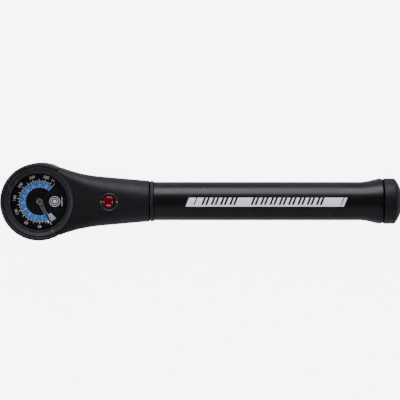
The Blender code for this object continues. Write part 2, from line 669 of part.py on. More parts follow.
def cap_parts(cap_axis):
    """The end cap, which turns on the plug's stub, and the pin that stops it at each end."""
    chamfer, end_face, crown = 0.0005, 0.0081, 1.55
    spigot, spigot_bore, spigot_reach = 0.0142, 0.0120, 0.0005
    dome = []
    for step in range(6):
        share = step / 5
        radius = CAP_RADIUS - (CAP_RADIUS - end_face) * share ** crown
        dome.append((radius, CAP_EDGE + (CAP_TIP - CAP_EDGE) * share))
    outline = [(0, CAP_TIP)] + dome[::-1]
    outline += [(CAP_RADIUS, CAP_START + chamfer), (CAP_RADIUS - chamfer, CAP_START),
                (spigot, CAP_START), (spigot, CAP_START - spigot_reach),
                (spigot_bore, CAP_START - spigot_reach), (spigot_bore, CAP_START), (0.0083, CAP_START),
                (0.0083, 0.2263), (0.0062, 0.2263), (0.0062, 0.2303), (0, 0.2303)]
    cap = turned("end_cap", outline, "black_composite", cap_axis, 40)
    pin_hole = bar_cutter(0.0012, 0.2200, 0.2272, cap_axis, 12)
    pin_hole.location = (PIN_CIRCLE, 0, 0)
    combine(cap, [pin_hole], "DIFFERENCE")
    pin = rod("selector_pin", 0.0009, 0.2205, 0.2268, "steel", cap_axis, 12)
    pin.location = (PIN_CIRCLE, 0, 0)


def build():
    clear_scene()
    sector_place = tuple(GEAR_MODULE * PINION_TEETH * (1 + SECTOR_RATIO) / 2 * part
                         for part in (cos(SECTOR_ANGLE), sin(SECTOR_ANGLE)))
    head = axis_empty("head_axis", (HEAD_X, 0, 0))
    needle_axis = axis_empty("needle_axis", (HEAD_X, 0, 0))
    sector_axis = axis_empty("sector_axis", (HEAD_X + sector_place[0], sector_place[1], 0))
    valve = axis_empty("valve_axis", (HEAD_X + VALVE_PLACE, 0, 0))
    button_axis = axis_empty("button_axis", (HEAD_X + VALVE_PLACE, 0, 0))
    port = axis_empty("port_axis", (HEAD_X + PORT_PLACE, 0, 0))
    pump, stroke, barrel_axis, cap_axis = [
        axis_empty(name, (HEAD_X, 0, AXIS_HEIGHT), along_x=True)
        for name in ("cylinder_axis", "stroke_axis", "barrel_axis", "cap_axis")]

    head_housing(head, pump, valve, port)
    head_guard(head)
    gauge_front(head)
    gauge_case(head)
    dial_plate(head)
    movement_plates(head, sector_place)
    pressure_parts(head, sector_place)
    hairspring(head)
    needle_parts(needle_axis)
    sector_parts(sector_axis)
    valve_parts(valve, button_axis)
    port_parts(port)
    cylinder_parts(pump)
    rod_parts(stroke)
    barrel_parts(barrel_axis)
    cap_parts(cap_axis)


build()
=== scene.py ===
"""The looks of the shock pump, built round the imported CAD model.

Every length is in metres, in the frame of the CAD model: the pump lies on its back, its
gauge faces +Z and its barrel points along +X. Places along the pump are measured from the
centre of the round head, as the distance that the comments call "along".
"""
import json
from math import cos, hypot, pi, radians, sin, sqrt, tan, tau

import bmesh
import bpy
from mathutils import Matrix, Vector
from mathutils.geometry import tessellate_polygon


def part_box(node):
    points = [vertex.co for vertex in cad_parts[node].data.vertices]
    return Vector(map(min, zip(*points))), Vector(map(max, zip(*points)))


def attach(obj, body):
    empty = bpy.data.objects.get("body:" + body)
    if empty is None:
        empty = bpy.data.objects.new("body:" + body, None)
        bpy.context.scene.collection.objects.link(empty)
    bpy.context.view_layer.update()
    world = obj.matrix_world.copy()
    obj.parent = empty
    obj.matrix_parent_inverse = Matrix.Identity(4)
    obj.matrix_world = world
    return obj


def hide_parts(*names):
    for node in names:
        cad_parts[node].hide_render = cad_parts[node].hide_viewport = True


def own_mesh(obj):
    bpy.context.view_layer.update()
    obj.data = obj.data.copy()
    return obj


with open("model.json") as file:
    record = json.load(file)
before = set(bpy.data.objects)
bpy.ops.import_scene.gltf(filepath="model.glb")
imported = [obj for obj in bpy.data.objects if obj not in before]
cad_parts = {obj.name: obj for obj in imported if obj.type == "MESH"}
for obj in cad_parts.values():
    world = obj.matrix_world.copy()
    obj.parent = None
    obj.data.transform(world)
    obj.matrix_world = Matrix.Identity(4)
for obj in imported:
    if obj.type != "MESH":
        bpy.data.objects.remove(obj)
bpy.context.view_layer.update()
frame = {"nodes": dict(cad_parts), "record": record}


# ---------------------------------------------------------------- places, read from the frame

def middle(node):
    """The middle of a CAD node's box."""
    low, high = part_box(node)
    return (low + high) / 2


GUARD_LOW, GUARD_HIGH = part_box("head_guard")
CAP_LOW, CAP_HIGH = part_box("end_cap")
BARREL_LOW, BARREL_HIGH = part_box("barrel")
CYLINDER_LOW, CYLINDER_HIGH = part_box("inner_cylinder")
BUMPER_LOW, BUMPER_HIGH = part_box("bumper_ring")
HEAD = Vector((middle("dial_plate").x, 0, 0))
VALVE = Vector((middle("bleed_button").x, 0, 0))
PORT = Vector((middle("hose_port").x, 0, 0))
AXIS_HEIGHT = middle("inner_cylinder").z
LENGTH = CAP_HIGH.x - GUARD_LOW.x
HEAD_RADIUS = HEAD.x - GUARD_LOW.x
HEAD_TOP = GUARD_HIGH.z
NECK_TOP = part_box("head_housing")[1].z
NECK_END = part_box("head_housing")[1].x - HEAD.x
DIAL_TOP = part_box("dial_plate")[1].z
CAP_RADIUS = (CAP_HIGH.y - CAP_LOW.y) / 2
CAP_START = CAP_LOW.x - HEAD.x
CAP_TIP = CAP_HIGH.x - HEAD.x
CYLINDER_RADIUS = (CYLINDER_HIGH.y - CYLINDER_LOW.y) / 2

# The pump's own radii, heights and angles, which no box of the frame gives.
NECK_RADIUS = 0.0133
BARREL_RADIUS = 0.0125
BARREL_BORE = 0.0113
NECK_BORE = 0.0099
DRUM_RADIUS = 0.0226
GUARD_SEAM = radians(59)
SEAM_GAP = 0.0006 / HEAD_RADIUS
BEZEL_RADIUS = 0.0224
BEZEL_SEAT = 0.0270
JOINT_RADIUS = 0.0142
FLOOR_DEPTH = 0.0001
WINDOW_RADIUS = 0.0185


# ---------------------------------------------------------------- materials

def new_material(name, colour, roughness, metallic=0.0):
    """A Principled material, with its node tree and its shader."""
    material = bpy.data.materials.new(name)
    material.use_nodes = True
    tree = material.node_tree
    shader = tree.nodes["Principled BSDF"]
    shader.inputs["Base Color"].default_value = (*colour, 1)
    shader.inputs["Roughness"].default_value = roughness
    shader.inputs["Metallic"].default_value = metallic
    return material, tree, shader


def noise(tree, scale, detail=3.0, stretch=(1, 1, 1)):
    """Cloudy noise with about `scale` blotches to the metre, stretched along each axis."""
    coordinates = tree.nodes.new("ShaderNodeTexCoord")
    mapping = tree.nodes.new("ShaderNodeMapping")
    mapping.inputs["Scale"].default_value = stretch
    texture = tree.nodes.new("ShaderNodeTexNoise")
    texture.inputs["Scale"].default_value = scale
    texture.inputs["Detail"].default_value = detail
    tree.links.new(coordinates.outputs["Object"], mapping.inputs["Vector"])
    tree.links.new(mapping.outputs["Vector"], texture.inputs["Vector"])
    return texture.outputs["Fac"]


def spread(tree, value, low, high, first=0.3, last=0.7):
    """Map a value between first and last to one between low and high."""
    node = tree.nodes.new("ShaderNodeMapRange")
    node.inputs["From Min"].default_value = first
    node.inputs["From Max"].default_value = last
    node.inputs["To Min"].default_value = low
    node.inputs["To Max"].default_value = high
    tree.links.new(value, node.inputs["Value"])
    return node.outputs["Result"]


def blend_colours(tree, share, first, second):
    """A colour between the first and the second. The first may be a socket."""
    node = tree.nodes.new("ShaderNodeMix")
    node.data_type = "RGBA"
    if isinstance(first, bpy.types.NodeSocket):
        tree.links.new(first, node.inputs["A"])
    else:
        node.inputs["A"].default_value = (*first, 1)
    node.inputs["B"].default_value = (*second, 1)
    tree.links.new(share, node.inputs["Factor"])
    return node.outputs["Result"]


def emboss(tree, shader, height, strength, depth):
    """Add a bump of a height value to what already bends the shader's normal."""
    node = tree.nodes.new("ShaderNodeBump")
    node.inputs["Strength"].default_value = strength
    node.inputs["Distance"].default_value = depth
    normal = shader.inputs["Normal"]
    if normal.links:
        tree.links.new(normal.links[0].from_socket, node.inputs["Normal"])
    tree.links.new(height, node.inputs["Height"])
    tree.links.new(node.outputs["Normal"], normal)


def worn_edges(tree, colour, wear_and_highlight_colour, amount):
    """Lighten the base colour along sharp edges, more where a coarse noise is high: part wear, part
    painted highlight along rims and lips.
    """
    geometry = tree.nodes.new("ShaderNodeNewGeometry")
    edge = spread(tree, geometry.outputs["Pointiness"], 0.0, amount, first=0.53, last=0.62)
    patchy = tree.nodes.new("ShaderNodeMath")
    patchy.operation = "MULTIPLY"
    tree.links.new(edge, patchy.inputs[0])
    tree.links.new(spread(tree, noise(tree, 300), 0.2, 1.0), patchy.inputs[1])
    return blend_colours(tree, patchy.outputs["Value"], colour, wear_and_highlight_colour)


def grained(name, colour, tone, roughness, grain, depth, shine=0.5, edge_wear_and_highlight=None):
    """Moulded plastic or rubber: a fine skin grain, soft blotches of tone and gloss."""
    material, tree, shader = new_material(name, colour, roughness[0])
    shader.inputs["Specular IOR Level"].default_value = shine
    blotch = noise(tree, 90, 4.0)
    base = blend_colours(tree, spread(tree, blotch, 0.0, 1.0), colour, tone)
    # Edges lightened in colour: wear, and a painted highlight along rims.
    if edge_wear_and_highlight:
        base = worn_edges(tree, base, edge_wear_and_highlight, 0.5)
    tree.links.new(base, shader.inputs["Base Color"])
    tree.links.new(spread(tree, noise(tree, 260), *roughness), shader.inputs["Roughness"])
    emboss(tree, shader, noise(tree, grain, 2.0), 0.35, depth)
    return material


def black_composite():
    return grained("black_composite", (0.0052, 0.0044, 0.0056), (0.0074, 0.0064, 0.0079),
                   (0.43, 0.53), 2600, 0.00002, shine=0.40, edge_wear_and_highlight=(0.020, 0.020, 0.022))


def black_rubber():
    return grained("black_rubber", (0.0122, 0.0110, 0.0126), (0.0168, 0.0154, 0.0172),
                   (0.46, 0.58), 3400, 0.00003, shine=0.5, edge_wear_and_highlight=(0.030, 0.030, 0.032))


def bezel_plastic():
    # Its edges lighten to pale grey: mostly a painted highlight along the window's lip, with some
    # wear.
    return grained("bezel_plastic", (0.013, 0.013, 0.015), (0.018, 0.018, 0.020),
                   (0.50, 0.60), 3000, 0.00001, shine=0.45, edge_wear_and_highlight=(0.12, 0.12, 0.124))


def gap_black():
    # Near-black and almost without gloss: painted shade, laid on the floors of fine gaps and joints.
    return grained("gap_black", (0.0015, 0.0015, 0.0016), (0.0025, 0.0025, 0.0026),
                   (0.75, 0.90), 3000, 0.00001, shine=0.08)


def seal_rubber():
    return grained("seal_rubber", (0.012, 0.012, 0.012), (0.020, 0.020, 0.020),
                   (0.45, 0.60), 3000, 0.00002)


def bearing_plastic():
    return grained("bearing_plastic", (0.62, 0.61, 0.56), (0.70, 0.69, 0.64),
                   (0.38, 0.50), 1800, 0.00001)


def black_anodised():
    """Semi-gloss black tube: drawn lines along it and faint smudges."""
    material, tree, shader = new_material("black_anodised", (0.0045, 0.0045, 0.0050), 0.30)
    shader.inputs["Specular IOR Level"].default_value = 0.55
    smudge = noise(tree, 60, 5.0)
    tone = blend_colours(tree, spread(tree, smudge, 0.0, 1.0),
                         (0.0030, 0.0026, 0.0032), (0.0049, 0.0043, 0.0052))
    tree.links.new(tone, shader.inputs["Base Color"])
    tree.links.new(spread(tree, smudge, 0.27, 0.34), shader.inputs["Roughness"])
    emboss(tree, shader, noise(tree, 900, 1.0, stretch=(0.03, 1, 1)), 0.12, 0.000004)
    return material


def bush_finish():
    """Dark nickel of the bush round the button, its colour lightened along its rim and edges: a
    painted highlight, with patchy wear.
    """
    material, tree, shader = new_material("bush_finish", (0.14, 0.148, 0.14), 0.34, 0.7)
    base = worn_edges(tree, (0.14, 0.148, 0.14), (0.55, 0.56, 0.52), 0.9)
    tree.links.new(base, shader.inputs["Base Color"])
    tree.links.new(spread(tree, noise(tree, 900), 0.28, 0.42), shader.inputs["Roughness"])
    emboss(tree, shader, noise(tree, 2500, 2.0), 0.2, 0.00001)
    return material


def bush_black():
    # The bush's collar in near-black, a shaded copy of the bush's nickel: painted shade.
    return grained("bush_black", (0.010, 0.010, 0.010), (0.016, 0.016, 0.016),
                   (0.32, 0.42), 2500, 0.00001)


def red_anodised():
    """Bright red dye over polished aluminium, darker where it lies thick."""
    material, tree, shader = new_material("red_anodised", (0.42, 0.004, 0.02), 0.2, 0.85)
    dye = blend_colours(tree, spread(tree, noise(tree, 700), 0.0, 1.0),
                        (0.26, 0.002, 0.010), (0.40, 0.006, 0.022))
    tree.links.new(dye, shader.inputs["Base Color"])
    tree.links.new(spread(tree, noise(tree, 1200), 0.24, 0.34), shader.inputs["Roughness"])
    shader.inputs["Coat Weight"].default_value = 1.0
    shader.inputs["Coat Roughness"].default_value = 0.18
    emboss(tree, shader, noise(tree, 4000, 2.0), 0.1, 0.000005)
    return material


def clear_lens():
    """A clear window that is nearly all see-through, with fine rub marks."""
    material, tree, shader = new_material("clear_lens", (0.012, 0.012, 0.014), 0.06)
    shader.inputs["Alpha"].default_value = 0.10
    shader.inputs["Specular IOR Level"].default_value = 0.8
    tree.links.new(spread(tree, noise(tree, 500, 5.0), 0.03, 0.10), shader.inputs["Roughness"])
    emboss(tree, shader, noise(tree, 1500, 3.0), 0.05, 0.000005)
    return material


def dial_black():
    return grained("dial_black", (0.0028, 0.0028, 0.0030), (0.0042, 0.0042, 0.0044),
                   (0.45, 0.60), 5000, 0.000004, shine=0.3)


def ink(name, colour, tone, roughness=0.5):
    """Screen-printed ink: slightly uneven in tone, with a faint orange-peel surface."""
    material, tree, shader = new_material(name, colour, roughness)
    shader.inputs["Specular IOR Level"].default_value = 0.35
    print_tone = blend_colours(tree, spread(tree, noise(tree, 800, 4.0), 0.0, 1.0), colour, tone)
    tree.links.new(print_tone, shader.inputs["Base Color"])
    gloss = spread(tree, noise(tree, 1500), roughness - 0.06, roughness + 0.08)
    tree.links.new(gloss, shader.inputs["Roughness"])
    emboss(tree, shader, noise(tree, 3500, 2.0), 0.2, 0.000004)
    return material


def blue_ink():
    return ink("blue_ink", (0.035, 0.16, 0.50), (0.055, 0.22, 0.62))


def deep_blue_ink():
    return ink("deep_blue_ink", (0.012, 0.055, 0.24), (0.020, 0.080, 0.32))


def pale_blue_ink():
    return ink("pale_blue_ink", (0.50, 0.66, 0.90), (0.62, 0.76, 0.96))


def white_ink():
    return ink("white_ink", (0.78, 0.79, 0.82), (0.86, 0.87, 0.90))


def grey_ink():
    return ink("grey_ink", (0.62, 0.63, 0.62), (0.74, 0.75, 0.74))


def silver_ink():
    """The barrel's stripe: pale silver film with fine scuffs along it."""
    material, tree, shader = new_material("silver_ink", (0.74, 0.74, 0.76), 0.42)
    scuff = noise(tree, 900, 4.0, stretch=(0.15, 1, 1))
    film = blend_colours(tree, spread(tree, scuff, 0.0, 1.0), (0.78, 0.78, 0.80), (0.92, 0.92, 0.93))
    tree.links.new(film, shader.inputs["Base Color"])
    tree.links.new(spread(tree, scuff, 0.36, 0.50), shader.inputs["Roughness"])
    emboss(tree, shader, scuff, 0.2, 0.000006)
    return material


def needle_grey():
    return ink("needle_grey", (0.20, 0.20, 0.19), (0.27, 0.27, 0.255), 0.38)


def needle_cap():
    return ink("needle_cap", (0.035, 0.034, 0.032), (0.055, 0.054, 0.050), 0.34)


def needle_black():
    return ink("needle_black", (0.010, 0.010, 0.010), (0.016, 0.016, 0.016), 0.42)


def turned_metal(name, colour, tone, roughness, along):
    """Machined metal: fine tool marks, tarnish in clouds, and a gloss that changes with it."""
    material, tree, shader = new_material(name, colour, roughness, 1.0)
    cloud = noise(tree, 220, 4.0)
    tarnish = blend_colours(tree, spread(tree, cloud, 0.0, 1.0), colour, tone)
    tree.links.new(tarnish, shader.inputs["Base Color"])
    gloss = spread(tree, cloud, roughness - 0.05, roughness + 0.10)
    tree.links.new(gloss, shader.inputs["Roughness"])
    emboss(tree, shader, noise(tree, 1200, 1.0, stretch=along), 0.12, 0.000005)
    return material


def brass():
    return turned_metal("brass", (0.62, 0.43, 0.17), (0.50, 0.33, 0.12), 0.30, (1, 1, 6))


def steel():
    return turned_metal("steel", (0.52, 0.52, 0.54), (0.42, 0.42, 0.44), 0.28, (1, 1, 6))


def chromed_tube():
    return turned_metal("chromed_tube", (0.62, 0.63, 0.65), (0.56, 0.57, 0.60), 0.14, (8, 1, 1))


def black_enamel():
    return ink("black_enamel", (0.010, 0.010, 0.011), (0.015, 0.015, 0.016), 0.4)


MAKERS = {maker.__name__: maker for maker in (
    black_composite, black_rubber, bezel_plastic, gap_black, seal_rubber, bearing_plastic,
    black_anodised, red_anodised, bush_finish, bush_black, black_enamel, brass, steel, chromed_tube,
    clear_lens, dial_black, blue_ink, deep_blue_ink, pale_blue_ink, white_ink, grey_ink, silver_ink,
    needle_grey, needle_cap, needle_black,
)}
made_materials = {}


def finish(name):
    """The material of a finish, made the first time it is asked for."""
    if name not in made_materials:
        made_materials[name] = MAKERS[name]()
    return made_materials[name]


# ---------------------------------------------------------------- modelling tools

def show_mesh(name, mesh, finish_name, body, replaced=(), crease=30):
    """Show a finished mesh as a piece that rides on a body."""
    mesh.shade_smooth()
    mesh.set_sharp_from_angle(angle=radians(crease))
    mesh.materials.clear()
    mesh.materials.append(finish(finish_name))
    piece = bpy.data.objects.new(name, mesh)
    bpy.context.collection.objects.link(piece)
    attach(piece, body)
    if replaced:
        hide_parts(*replaced)
    return piece


def closed_mesh(name, mesh_data):
    """Turn a bmesh into a mesh whose faces point outward."""
    bmesh.ops.remove_doubles(mesh_data, verts=mesh_data.verts, dist=1e-7)
    bmesh.ops.recalc_face_normals(mesh_data, faces=mesh_data.faces)
    mesh = bpy.data.meshes.new(name)
    mesh_data.to_mesh(mesh)
    mesh_data.free()
    return mesh


def show(name, mesh_data, finish_name, body, replaced=(), crease=30):
    """Show a bmesh as a piece that rides on a body."""
    return show_mesh(name, closed_mesh(name, mesh_data), finish_name, body, replaced, crease)


def add_loft(mesh_data, rings, closed=False):
    """Join rings of points with faces, and cap both ends unless the last ring meets the first."""
    loops = [[mesh_data.verts.new(point) for point in ring] for ring in rings]
    pairs = list(zip(loops, loops[1:]))
    if closed:
        pairs.append((loops[-1], loops[0]))
    else:
        mesh_data.faces.new(loops[0])
        mesh_data.faces.new(loops[-1])
    for near, far in pairs:
        for index in range(len(near)):
            after = (index + 1) % len(near)
            mesh_data.faces.new((near[index], near[after], far[after], far[index]))


def rounded(corners, steps=5):
    """Replace each corner (across, up, radius) of a closed outline by an arc of that radius."""
    points = []
    for index, (across, up, radius) in enumerate(corners):
        corner = Vector((across, up))
        if not radius:
            points.append(corner)
            continue
        before = (Vector(corners[index - 1][:2]) - corner).normalized()
        after = (Vector(corners[(index + 1) % len(corners)][:2]) - corner).normalized()
        half_angle = before.angle(after) / 2
        centre = corner + (before + after).normalized() * (radius / sin(half_angle))
        reach = radius / tan(half_angle)
        first, last = corner + before * reach - centre, corner + after * reach - centre
        for step in range(steps + 1):
            points.append(centre + first.lerp(last, step / steps).normalized() * radius)
    return [(point.x, point.y) for point in points]


def upright(place):
    """Where a (radius, height) point lies, turned by an angle about a vertical axis."""
    def turn(radius, height, angle):
        return (place.x + radius * cos(angle), place.y + radius * sin(angle), height)
    return turn


def lengthwise(radius, along, angle):
    """Where a (radius, along) point lies, turned by an angle about the pump's axis."""
    return (HEAD.x + along, radius * sin(angle), AXIS_HEIGHT + radius * cos(angle))


def slab(inner, outer, low, high):
    """A rectangular outline between two radii, or two places, and two heights."""
    return [(inner, low), (outer, low), (outer, high), (inner, high)]


def add_turned(mesh_data, outline, turn, segments, start=0.0, sweep=tau):
    """Add a closed outline of (radius, height) points, turned about an axis."""
    whole = sweep == tau
    count = segments if whole else segments + 1
    rings = [[turn(radius, height, start + sweep * step / segments) for radius, height in outline]
             for step in range(count)]
    add_loft(mesh_data, rings, closed=whole)


def turned(outline, turn, segments=128, start=0.0, sweep=tau):
    """A bmesh of one turned outline."""
    mesh_data = bmesh.new()
    add_turned(mesh_data, outline, turn, segments, start, sweep)
    return mesh_data


def loose(name, mesh_data):
    """An object that is only used to shape another."""
    shape = bpy.data.objects.new(name, closed_mesh(name, mesh_data))
    bpy.context.collection.objects.link(shape)
    return shape


def carved(base, cutters, edge=0.0):
    """The mesh of a base shape with the cutters cut out of it and its sharp edges rounded."""
    for cutter in cutters:
        modifier = base.modifiers.new("cut", "BOOLEAN")
        modifier.operation = "DIFFERENCE"
        modifier.solver = "EXACT"
        modifier.object = cutter
    if edge:
        modifier = base.modifiers.new("edge", "BEVEL")
        modifier.width = edge
        modifier.segments = 2
        modifier.limit_method = "ANGLE"
        modifier.angle_limit = radians(50)
    graph = bpy.context.evaluated_depsgraph_get()
    mesh = bpy.data.meshes.new_from_object(base.evaluated_get(graph))
    for shape in [base] + cutters:
        bpy.data.objects.remove(shape, do_unlink=True)
    return mesh


def add_prism(mesh_data, outline, bottom, top, hole=()):
    """Add a flat plate with an outline, and perhaps one hole, between two heights."""
    loops = [outline, hole] if hole else [outline]
    flat = [[Vector((x, y, 0)) for x, y in loop] for loop in loops]
    levels = [[[mesh_data.verts.new((x, y, height)) for x, y in loop] for loop in loops]
              for height in (bottom, top)]
    for level in levels:
        points = [vert for loop in level for vert in loop]
        for corners in tessellate_polygon(flat):
            mesh_data.faces.new([points[index] for index in corners])
    for low, high in zip(*levels):
        for index in range(len(low)):
            after = (index + 1) % len(low)
            mesh_data.faces.new((low[index], low[after], high[after], high[index]))


# ---------------------------------------------------------------- head and neck

def half_width(along):
    """Half the width of the head and neck: a circle, a fillet and a straight taper."""
    fillet, taper = 0.100, 0.0833
    slope = hypot(1, taper)
    reach = (taper * NECK_END + NECK_RADIUS) / slope + fillet
    slide = sqrt((HEAD_RADIUS + fillet) ** 2 - reach ** 2)
    centre_along = (taper * reach + slide) / slope
    centre_across = (reach - taper * slide) / slope
    if along <= 0:
        return HEAD_RADIUS
    if along < centre_along * HEAD_RADIUS / (HEAD_RADIUS + fillet):
        return sqrt(HEAD_RADIUS ** 2 - along ** 2)
    if along < centre_along - fillet * taper / slope:
        return centre_across - sqrt(fillet ** 2 - (along - centre_along) ** 2)
    return NECK_RADIUS + taper * (NECK_END - along)


def neck_section(along, inset=0.0, corner_points=14):
    """Rounded rectangle across the neck: square at the head, a circle at the neck's end."""
    growth_start, head_corner, growth = 0.008, 0.0015, 0.8
    neck_corner, fullest = NECK_RADIUS * 0.99, 0.995
    share = max(0.0, (along - growth_start) / (NECK_END - growth_start))
    low = (AXIS_HEIGHT - NECK_RADIUS) * share + inset
    high = NECK_TOP + (AXIS_HEIGHT + NECK_RADIUS - NECK_TOP) * share - inset
    width = half_width(along) - inset
    corner = head_corner + (neck_corner - head_corner) * sin(share * pi / 2) ** growth - inset
    corner = min(corner, (high - low) / 2 * fullest)
    points = []
    for quarter, (side, level) in enumerate([(1, 1), (-1, 1), (-1, -1), (1, -1)]):
        centre_across = side * (width - corner)
        centre_up = (high - corner) if level > 0 else (low + corner)
        for step in range(corner_points + 1):
            angle = pi / 2 * (quarter + step / corner_points)
            points.append((HEAD.x + along, centre_across + corner * cos(angle),
                           centre_up + corner * sin(angle)))
    return points


def head_cutters():
    """What is cut out of the head: space for the guard and the gauge, the bores and the port."""
    above, below, outside = 0.040, -0.010, 0.040
    guard_space = turned(slab(DRUM_RADIUS, outside, below, above), upright(HEAD), 96,
                         GUARD_SEAM, tau - 2 * GUARD_SEAM)
    pocket_radius, pocket_floor, bezel_bore = 0.0206, 0.0070, BEZEL_RADIUS + 0.0001
    pocket = turned([(0, above), (bezel_bore, above), (bezel_bore, BEZEL_SEAT),
                     (pocket_radius, BEZEL_SEAT), (pocket_radius, pocket_floor), (0, pocket_floor)],
                    upright(HEAD), 128)
    bore_floor, outer_end = 0.0570, 0.080
    bore = turned(slab(0, NECK_BORE, outer_end, bore_floor), lengthwise, 96)
    mouth, mouth_top, mouth_foot = 0.0064, 0.0287, 0.0282
    bush_bore, bush_floor, pin_bore, pin_floor = 0.00595, 0.0235, 0.0042, 0.0100
    valve_bore = turned([(0, above), (mouth, above), (mouth, mouth_top), (bush_bore, mouth_foot),
                         (bush_bore, bush_floor), (pin_bore, bush_floor), (pin_bore, pin_floor),
                         (0, pin_floor)], upright(VALVE), 96)
    port_radius, port_mouth, port_floor, chamfer = 0.0058, 0.0062, 0.0072, 0.0004
    port_bore = turned([(0, port_floor), (port_radius, port_floor), (port_radius, chamfer),
                        (port_mouth, 0), (port_mouth, below), (0, below)], upright(PORT), 96)
    return [loose("cutter", shape) for shape in (guard_space, pocket, bore, valve_bore, port_bore)]


def make_head_shell():
    """The moulded body: gauge drum and neck, with the pocket, the bores and the port cut in."""
    end_round, stations, inside_guard = 0.0005, 64, 0.0002
    first, last = inside_guard - HEAD_RADIUS, NECK_END - end_round
    rings = [neck_section(first + (last - first) * step / stations) for step in range(stations + 1)]
    for share in (0.3, 0.6, 0.85, 1.0):
        angle = share * pi / 2
        rings.append(neck_section(last + end_round * sin(angle), inset=end_round * (1 - cos(angle))))
    body = bmesh.new()
    add_loft(body, rings)
    mesh = carved(loose("head_base", body), head_cutters())
    show_mesh("head_shell", mesh, "black_composite", "head", ["head_housing"], crease=32)


def make_guard():
    """The C-shaped rubber guard round the drum, with softened rims and ends."""
    inner, foot = DRUM_RADIUS + 0.00002, GUARD_LOW.z
    groove, groove_depth, foot_radius, flank_foot = 0.0004, 0.0012, 0.0239, 0.0026
    outline = rounded([(HEAD_RADIUS, HEAD_TOP, 0.0008), (inner + groove, HEAD_TOP, 0.0004),
                       (inner, HEAD_TOP - groove_depth, 0), (inner, foot, 0.0003),
                       (foot_radius, foot, 0.0004), (HEAD_RADIUS, flank_foot, 0.0020)])
    start = GUARD_SEAM + SEAM_GAP
    shape = turned(outline, upright(HEAD), 120, start, tau - 2 * start)
    mesh = carved(loose("guard_base", shape), [], edge=0.00025)
    show_mesh("guard_ring", mesh, "black_rubber", "head", ["head_guard"], crease=40)


def make_seam_floors():
    """Close the two gaps at the guard's ends with near-black matt sheets, well below its rim: painted
    shade in the gaps.
    """
    sunk, overlap = 0.0013, 0.0001
    outline = slab(DRUM_RADIUS - overlap, HEAD_RADIUS - sunk, GUARD_LOW.z + sunk, HEAD_TOP - sunk)
    margin = overlap / HEAD_RADIUS
    for number, start in enumerate((GUARD_SEAM, tau - GUARD_SEAM - SEAM_GAP), 1):
        shape = turned(outline, upright(HEAD), 2, start - margin, SEAM_GAP + 2 * margin)
        show("seam_floor_%d" % number, shape, "gap_black", "head")


def show_joint_floor(name, radius, start, end, body):
    """Show the floor of a fine joint, a thin ring round the pump's axis, in near-black matt: painted
    shade.
    """
    wall = 0.0003
    show(name, turned(slab(radius - wall, radius, start, end), lengthwise), "gap_black", body)


def make_bumper():
    """The rubber ring between neck and barrel: two fine rounded ribs with a groove between."""
    play = 0.0001
    start, end = BUMPER_LOW.x - HEAD.x - play, BARREL_LOW.x - HEAD.x - play
    rib = (BUMPER_HIGH.y - BUMPER_LOW.y) / 2
    floor, valley = rib - 0.0005, rib - 0.0004
    waist = floor - FLOOR_DEPTH
    first, second, half_groove = start + 0.0005, end - 0.0003, 0.00016
    centre = (first + second) / 2
    outline = rounded([
        (NECK_BORE, start, 0), (waist, start, 0.0001), (waist, first, 0.0001), (rib, first, 0.0004),
        (rib, centre - half_groove, 0.0002), (valley, centre - half_groove, 0.0001),
        (valley, centre + half_groove, 0.0001), (rib, centre + half_groove, 0.0002),
        (rib, second, 0.0004), (waist, second, 0.0001), (waist, end, 0.0001), (NECK_BORE, end, 0)], 4)
    show("bumper_ribs", turned(outline, lengthwise), "black_rubber", "head", ["bumper_ring"])
    # Near-black rings floor the joints at both ends of the ribs: painted shade.
    show_joint_floor("bumper_floor_1", floor, start, first + FLOOR_DEPTH, "head")
    show_joint_floor("bumper_floor_2", floor, second - FLOOR_DEPTH, end, "head")


# ---------------------------------------------------------------- gauge front

def make_bezel():
    """The funnel-shaped ring round the window, with a thin raised lip at its inner edge."""
    rim_top, foot, lip_top, lip_width = 0.0296, 0.0273, 0.0287, 0.0008
    funnel_foot, funnel_start, funnel_end = 0.0280, WINDOW_RADIUS + 0.0009, 0.0219
    outline = rounded([
        (BEZEL_RADIUS, rim_top, 0.00025), (BEZEL_RADIUS, foot, 0.0002), (WINDOW_RADIUS, foot, 0.0001),
        (WINDOW_RADIUS, lip_top, 0.0003), (WINDOW_RADIUS + lip_width, lip_top, 0.0003),
        (funnel_start, funnel_foot, 0.0002), (funnel_end, rim_top, 0.0002)])
    show("bezel_ring", turned(outline, upright(HEAD), 144), "bezel_plastic", "head", ["gauge_bezel"])


def make_window():
    """The clear disc over the dial."""
    low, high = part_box("gauge_lens")
    radius, edge = (high.x - low.x) / 2, 0.0003
    outline = rounded([(0, low.z, 0), (radius, low.z, edge), (radius, high.z, edge), (0, high.z, 0)])
    show("window", turned(outline, upright(HEAD), 128), "clear_lens", "head", ["gauge_lens"])


PSI_ZERO = radians(302.5)
PSI_STEP = radians(-0.813)
PSI_PER_BAR = 14.5
PRINT_TOP = DIAL_TOP + 0.00006
OVERPRINT_TOP = PRINT_TOP + 0.00004


def show_bars(name, bars, finish_name, top=PRINT_TOP):
    """Show printed bars of (inner radius, outer radius, start, sweep) round the gauge's centre."""
    joined = bmesh.new()
    facet = radians(2.5)
    for inner, outer, start, sweep in bars:
        steps = max(1, round(abs(sweep) / facet))
        add_turned(joined, slab(inner, outer, DIAL_TOP, top), upright(HEAD), steps, start, sweep)
    show(name, joined, finish_name, "head")


